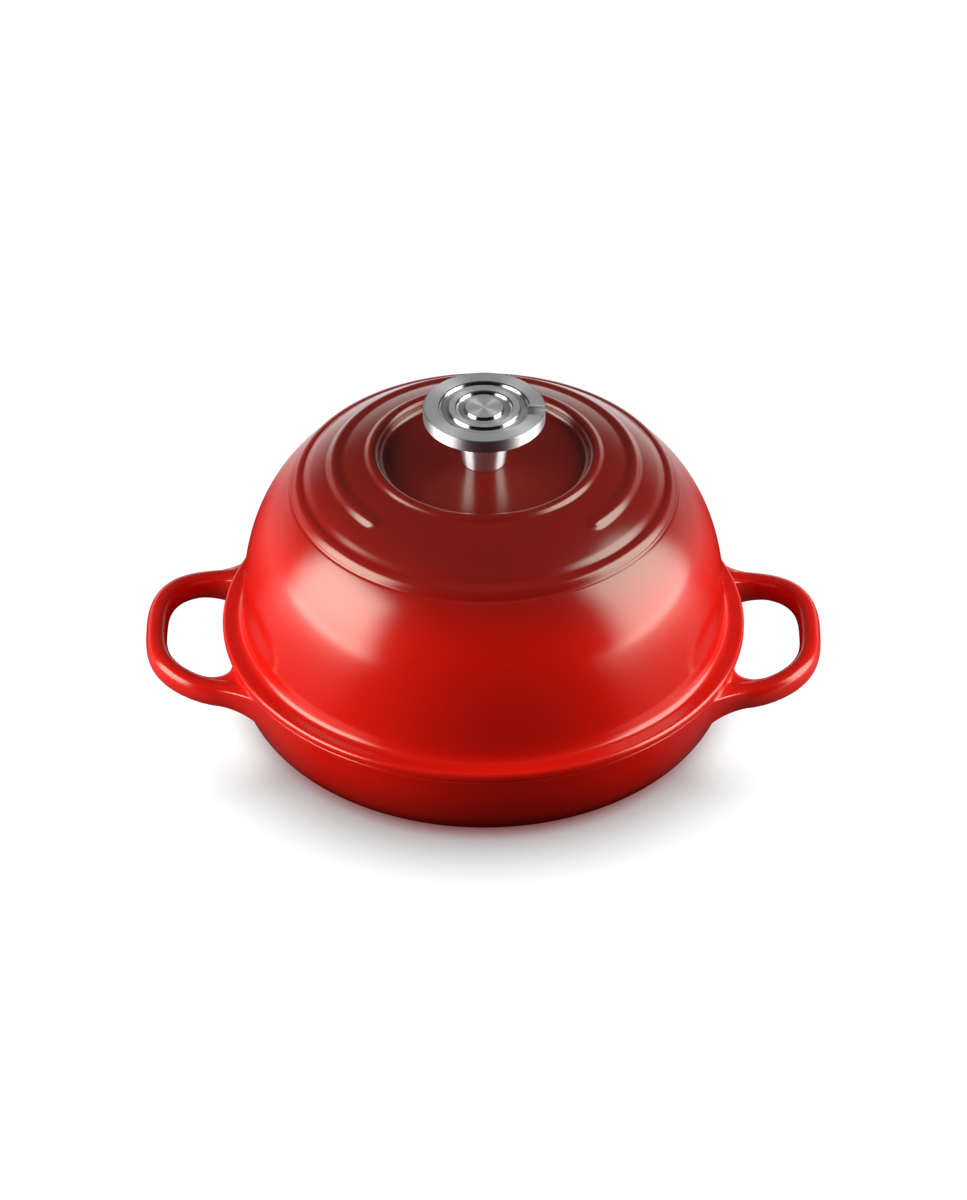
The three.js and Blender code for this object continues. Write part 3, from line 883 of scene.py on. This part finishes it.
knob = {
    "segments": 240,
    "discRadius": 28.7,
    "discEdge": 0.5,
    "discStep": 1.2,
    "discSharp": 30,  # degrees between faces that make a sharp edge
    "pocketEdge": 0.3,
    "grooves": (18.8, 10.9),
    "grooveWidth": 4.3,
    "grooveDraft": 0.8,
    "grooveDepth": 1.45,
    "grooveRound": 0.2,
    "grooveShoulder": 1.2,  # rounding of a groove's outer edge
    "grooveStep": 0.7,
    "notchWidth": 7.6,
    "notchDepth": 1.6,
    "notchAngle": -5.5,
    "notchBevel": 0.12,
    "stemTop": 12.9,
    "stemFoot": 10.2,
    "stemRound": 0.6,
    "stemEdge": 0.3,
    "stemStep": 1.5,
    "stemSegments": 160,
    "bushRadius": 5.4,
    "fit": 0.3,
}


def grooveFace(radius, top):
    # from the groove's outer edge to its inner one: polished walls and a brushed floor
    mouth, depth, small = knob["grooveWidth"] / 2, knob["grooveDepth"], knob["grooveRound"]
    floor = mouth - knob["grooveDraft"]
    path = rounded([
        (radius + mouth + 2, top, 0),
        (radius + mouth, top, knob["grooveShoulder"]),
        (radius + floor, top - depth, small),
        (radius - floor, top - depth, small),
        (radius - mouth, top, small),
        (radius - mouth - 0.3, top, 0),
    ], 6)
    path = evenly(path[1:-1], knob["grooveStep"])
    low, high = top - depth + 0.01, top - 0.005  # walls lie between
    return [(r, z, 1.0 if low <= z <= high else 0.0) for r, z in path]


def makeDisc():
    base, high = levels("knob_disc")
    top = high - base
    pocket = knob["bushRadius"] + knob["fit"]
    pocketDepth = levels("knob_bush")[1] - base
    radius, edge, step = knob["discRadius"], knob["discEdge"], knob["discStep"]
    under = rounded([
        (0, pocketDepth, 0),
        (pocket, pocketDepth, 0),
        (pocket, 0, knob["pocketEdge"]),
        (radius, 0, edge),
        (radius, top, edge),
        (radius - 1, top, 0),
    ])
    profile = strand(evenly(under, step)[:-1], 0.5)
    flat = radius - edge - 0.1
    for groove in knob["grooves"]:
        cut = grooveFace(groove, top)
        profile += strand(evenly([(flat, top), cut[0][:2]], step)[:-1]) + cut
        flat = cut[-1][0] - 0.05
    profile += strand(evenly([(flat, top), (0, top)], step))
    obj = settle(turnedPiece("knobDisc", profile, base, knob["segments"], brushedSteel))
    cutNotch(obj, base + top)
    sharpen(obj, knob["discSharp"])
    finishPiece(obj, "lid", "knob_disc")


def cutNotch(obj, top):
    # the notch runs from the outer groove to the rim
    ends = (knob["grooves"][0] + knob["grooveWidth"] / 3, knob["discRadius"] + 2)
    half, depth, bevel = knob["notchWidth"] / 2, knob["notchDepth"], knob["notchBevel"]
    side = [(half, -depth), (half, -bevel), (half + 2 * bevel, bevel)]
    outline = side + [(-y, z) for y, z in reversed(side)]
    points = [(x * mm, y * mm, (top + z) * mm) for x in ends for y, z in outline]
    count = len(outline)
    faces = [(i, (i + 1) % count, (i + 1) % count + count, i + count) for i in range(count)]
    faces += [tuple(range(count - 1, -1, -1)), tuple(range(count, 2 * count))]
    cutter = newObject("notchCutter", points, [], faces)
    cutter.data.transform(Matrix.Rotation(math.radians(knob["notchAngle"]), 4, "Z"))
    cutAway(obj, cutter)


def makeStem():
    base, high = levels("knob_stem")
    top = high - base
    bore = knob["bushRadius"] + knob["fit"]
    profile = evenly(rounded([
        (bore, 0, 0),
        (knob["stemFoot"], 0, knob["stemRound"]),
        (knob["stemTop"], top, knob["stemEdge"]),
        (bore, top, 0),
        (bore, 0, 0),
    ]), knob["stemStep"])
    obj = turnedPiece("knobStem", strand(profile), base, knob["stemSegments"], turnedSteel)
    sharpen(settle(obj))
    finishPiece(obj, "lid", "knob_stem")


# What holds the knob: a bush in its stem, and a screw and two washers inside the dome

fastener = {
    "segments": 96,
    "step": 2,
    "shank": 2.9,
    "pitch": 1.0,
    "threadDepth": 0.5,
    "threadRows": 8,  # mesh rows to a turn of the thread
    "threadStart": 1,  # above the lid's underside
    "screwSegments": 64,
    "neck": 0.3,
    "tipBevel": (0.7, 0.8),
    "spare": 1.5,
    "bushEdge": 0.4,
    "bushBevel": 0.5,
    "headRadius": 5.4,
    "headTop": (0.72, 0.15, 1.5),  # share of the radius, height and rounding
    "headShoulder": (1.7, 1.0),  # height and rounding
    "headEdge": 0.3,
    "crossWidth": 1.1,
    "crossLength": 6.4,
    "crossDepth": 1.8,
    "crossTaper": (1.05, 0.7),  # at the mouth and at the bottom
    "washerRadius": 9.0,
    "washerEdges": (0.35, 0.2),
    "springRadius": 5.6,
    "springEdge": 0.15,
    "springSplit": 1.2,
    "springTwist": 0.25,
    "springRings": 73,
}


def makeBush():
    base, high = levels("knob_bush")
    top = high - base
    bore, radius = fastener["shank"] + knob["fit"], knob["bushRadius"]
    edge, bevel = fastener["bushEdge"], fastener["bushBevel"]
    depth = levels("knob_screw")[1] + fastener["spare"] - base
    profile = evenly(rounded([
        (0, depth, 0),
        (bore, depth - 1, 0),
        (bore, bevel, 0),
        (bore + bevel, 0, 0),
        (radius, 0, edge),
        (radius, top, edge),
        (0, top, 0),
    ]), fastener["step"])
    obj = turnedPiece("knobBush", strand(profile), base, fastener["segments"], turnedSteel)
    sharpen(settle(obj))
    finishPiece(obj, "lid", "knob_bush")


def makeScrew():
    base, high = levels("knob_screw")
    seatZ = levels("lock_washer")[0] - base
    tip = high - base
    shank, head, neck = fastener["shank"], fastener["headRadius"], fastener["neck"]
    share, dome, topRound = fastener["headTop"]
    draw, bevel = fastener["tipBevel"]
    lower = rounded([
        (0, 0, 0),
        (head * share, dome, topRound),
        (head, *fastener["headShoulder"]),
        (head, seatZ, fastener["headEdge"]),
        (shank + neck, seatZ, 0),
        (shank, seatZ + neck, 0),
    ])
    upper = [(shank, seatZ + neck), (shank, tip - bevel), (shank - draw, tip), (0, tip)]
    thread = evenly(upper, fastener["pitch"] / fastener["threadRows"])
    profile = strand(evenly(lower, 1) + thread[1:])
    obj = turnedPiece("knobScrew", profile, base, fastener["screwSegments"], platedSteel)
    addNodes(obj, screwThread, {
        "Shank Radius": shank * mm,
        "Pitch": fastener["pitch"] * mm,
        "Depth": fastener["threadDepth"] * mm,
        "Low": (lidUnderside + fastener["threadStart"]) * mm,
        "High": (high - bevel) * mm,
        "Material": platedSteel,
    })
    settle(obj)
    cutCross(obj, base)
    sharpen(obj)
    finishPiece(obj, "lid", "knob_screw")


def cutCross(obj, base):
    # two tapered blades make the cross recess in the head
    heights = (-0.5, fastener["crossDepth"])
    for turn in (0, 90):
        points = []
        for z, taper in zip(heights, fastener["crossTaper"]):
            half = fastener["crossWidth"] / 2 * taper
            reach = fastener["crossLength"] / 2 * taper
            points += [(-reach, -half, z), (reach, -half, z), (reach, half, z), (-reach, half, z)]
        points = [(x * mm, y * mm, (base + z) * mm) for x, y, z in points]
        sides = [(i, (i + 1) % 4, (i + 1) % 4 + 4, i + 4) for i in range(4)]
        blade = newObject("crossBlade", points, [], [(3, 2, 1, 0), (4, 5, 6, 7), *sides])
        blade.data.transform(Matrix.Rotation(math.radians(turn), 4, "Z"))
        cutAway(obj, blade)


def makeFlatWasher():
    base, high = levels("flat_washer")
    top, bore = high - base, fastener["shank"] + knob["fit"]
    radius = fastener["washerRadius"]
    lower, upper = fastener["washerEdges"]
    profile = evenly(rounded([
        (bore, 0, 0),
        (radius, 0, lower),
        (radius, top, upper),
        (bore, top, upper),
        (bore, 0, 0),
    ]), fastener["step"])
    obj = turnedPiece("flatWasher", strand(profile), base, fastener["segments"], platedSteel)
    sharpen(settle(obj))
    finishPiece(obj, "lid_carrier", "flat_washer")


def makeLockWasher():
    # a square wire bent round once, with one end a little higher than the other
    base, high = levels("lock_washer")
    bore, outside = fastener["shank"] + knob["fit"], fastener["springRadius"]
    twist, edge = fastener["springTwist"], fastener["springEdge"]
    height = high - base - twist
    section = rounded([
        (bore, height / 2, 0),
        (bore, 0, edge),
        (outside, 0, edge),
        (outside, height, edge),
        (bore, height, edge),
        (bore, height / 2, 0),
    ], 2)[:-1]
    gap = fastener["springSplit"] / ((bore + outside) / 2)
    points = []
    for s in np.linspace(0, 1, fastener["springRings"]):
        turn = gap / 2 + (math.tau - gap) * s
        lift = base + twist * s
        points += [(r * math.cos(turn), r * math.sin(turn), z + lift) for r, z in section]
    points = np.array(points) * mm
    count = len(section)
    rings = [list(range(i * count, (i + 1) * count)) for i in range(fastener["springRings"])]
    faces = [f for a, b in zip(rings, rings[1:]) for f in bridge(b, a)]
    faces += [tuple(rings[0]), tuple(reversed(rings[-1]))]
    obj = newObject("lockWasher", points, [], faces)
    obj.data.materials.append(platedSteel)
    obj.data.shade_smooth()
    sharpen(obj)
    finishPiece(obj, "lid", "lock_washer")


makeDisc()
makeStem()
makeBush()
makeScrew()
makeFlatWasher()
makeLockWasher()


# Floor, light and camera

white, black = (1, 1, 1, 1), (0, 0, 0, 1)
studio = {
    "floor": (0.12, 0.12, 0.12, 1),
    "floorRough": 0.9,
    "floorCorners": ((-4, -3, 0), (4, -3, 0), (4, 5, 0), (-4, 5, 0)),
    "paintedContactShadow": (0.17, 0.02, 0.02, 1),  # painted shadow on the floor where the red pan meets it, reddened by painted bounce light
    "contactReach": 0.05,  # how far the soft contact shadow spreads, in metres
    "mirroredBehind": (0.5, 1.1),  # painted reflection: the floor's glow in the glaze, far and near behind the object
    "mirroredBeside": 1.8,
    "backdrop": 0.6,
    "overhead": 0.08,
    "fill": 0.03,
}
softbox = {
    "distance": 0.9,
    "below": 0.1,  # how much taller the panel is, down to the floor
    "lift": 0.005,
    "softSide": 0.27,  # share of the width over which a side fades
    "sideDrop": 0.35,  # how much darker the sides are than the middle
    "footLight": 0.8,
    "topFade": 0.62,
}


def makeFloor():
    obj = newObject("floor", studio["floorCorners"], [], [(0, 1, 2, 3)])
    material, make, shader = startMaterial("floor")
    shader.inputs["Roughness"].default_value = studio["floorRough"]
    shader.inputs["Specular IOR Level"].default_value = 0
    seen, glossy = make.node("ShaderNodeLightPath", out=("Is Camera Ray", "Is Glossy Ray"))
    # the floor's own lit colour is kept out of reflections; the glaze sees only the painted reflection
    # below
    make.plug(shader.inputs["Base Color"], mixColor(glossy, studio["floor"], black))
    reach = {"Distance": studio["contactReach"]}
    openness = make.node("ShaderNodeAmbientOcclusion", {"samples": 16}, reach, out="AO")
    x, y, _ = make.node("ShaderNodeTexCoord", out="Object").parts()
    far = radiusOf(x, y)
    aside = x.math("ABSOLUTE", x)
    # painted shadow: the floor's glow for the camera darkens where ambient occlusion finds the object
    # close, with painted red bounce light in the darkest part
    shade = rise(openness, 0.0, 1.05)
    lit = rise(aside / far, 0.8, 0.97) * rise(far, 0.1, 0.13)  # painted light: lifts the painted shadow beside the pan, under the handles, where the lamps reach
    tint = mixColor(rise(openness, 0.25, 0.7), studio["paintedContactShadow"], black)
    ground = mixColor(shade + (1 - shade) * lit, tint, white)
    # painted reflection: the floor glows for mirrored rays only, behind and beside the object
    wide, near = studio["mirroredBehind"]
    behind = rise(y / far, -0.1, 0.5) * rise(far, 0.15, 0.7) * wide
    behind = behind + rise(y / far, 0.75, 1.0) * rise(far, 0.1, 0.3) * near
    beside = rise((aside - 0.2 * y) / far, 0.85, 1.0) * rise(far, 0.05, 0.75)
    # nothing is mirrored from the floor in front of the object
    mirrored = glossy * (behind + beside * studio["mirroredBeside"])
    make.plug(shader.inputs["Emission Color"], mixColor(seen, mirrored, ground))
    shader.inputs["Emission Strength"].default_value = 1
    obj.data.materials.append(material)


def makeWorld():
    # white for the camera; mirrored, a lit backdrop low behind and a dim room elsewhere
    world = bpy.data.worlds.new("studio")
    world.use_nodes = True
    bpy.context.scene.world = world
    make = Wire(world.node_tree)
    background = world.node_tree.nodes["Background"]
    background.inputs["Color"].default_value = white
    _, back, up = make.node("ShaderNodeTexCoord", out="Generated").parts()
    backdrop = (rise(back, 0.15, 0.6) + rise(back, 0.65, 1.0)) * studio["backdrop"]
    backdrop = backdrop * (1 - rise(up, 0.0, 0.45))
    room = rise(up + back * 0.5, 0.4, 0.9) * studio["overhead"]
    seen, glossy = make.node("ShaderNodeLightPath", out=("Is Camera Ray", "Is Glossy Ray"))
    other = (1 - seen) * (1 - glossy) * studio["fill"]
    make.plug(background.inputs["Strength"], seen + glossy * (backdrop + room) + other)


def makeSoftbox(name, strength, azimuth, spread, top):
    # a panel of light beside the object, standing on the floor and as high as the elevation top
    lamp = bpy.data.lights.new(name, "AREA")
    lamp.shape = "RECTANGLE"
    distance = softbox["distance"]
    lamp.size = 2 * distance * math.tan(math.radians(spread / 2))
    lamp.size_y = softbox["below"] + distance * math.tan(math.radians(top))
    lamp.energy = strength * math.pi * lamp.size * lamp.size_y
    lamp.use_nodes = True
    make = Wire(lamp.node_tree)
    u, v, _ = make.node("ShaderNodeNewGeometry", out="Parametric").parts()
    across = 2 * u - 1
    soft, foot = softbox["softSide"], softbox["footLight"]
    sides = rise(u, 0.0, soft) * (1 - rise(u, 1 - soft, 1.0))
    sides = sides * (1 - softbox["sideDrop"] * across * across)
    ends = (foot + (1 - foot) * rise(v, 0.0, 0.4)) * (1 - rise(v, softbox["topFade"], 1.0))
    make.plug(lamp.node_tree.nodes["Emission"].inputs["Strength"], sides * ends)
    obj = bpy.data.objects.new(name, lamp)
    bpy.context.scene.collection.objects.link(obj)
    turn = math.radians(azimuth)
    middle = Vector((0, 0, lamp.size_y / 2 + softbox["lift"]))
    obj.location = middle + distance * Vector((math.sin(turn), -math.cos(turn), 0))
    obj.rotation_euler = (middle - obj.location).to_track_quat("-Z", "Y").to_euler()


camera = {
    "elevation": 36.564,
    "distance": 3.0,
    "targetHeight": 0.05603,
    "lens": 187.94,
    "roll": 0.23,
    "farthest": 50,
}


def makeCamera():
    data = bpy.data.cameras.new("camera")
    data.lens = camera["lens"]
    data.clip_end = camera["farthest"]
    obj = bpy.data.objects.new("camera", data)
    bpy.context.scene.collection.objects.link(obj)
    tilt = math.radians(camera["elevation"])
    target = Vector((0, 0, camera["targetHeight"]))
    obj.location = target + camera["distance"] * Vector((0, -math.cos(tilt), math.sin(tilt)))
    roll = Matrix.Rotation(math.radians(camera["roll"]), 4, "Z")
    obj.rotation_euler = (Matrix.Rotation(math.pi / 2 - tilt, 4, "X") @ roll).to_euler()
    bpy.context.scene.camera = obj


makeFloor()
makeWorld()
makeSoftbox("softboxLeft", strength=8.1, azimuth=-74.5, spread=63, top=44)
makeSoftbox("softboxRight", strength=6.7, azimuth=86, spread=63, top=55)
makeCamera()
bpy.context.scene.view_settings.view_transform = "Standard"
print("stage set")
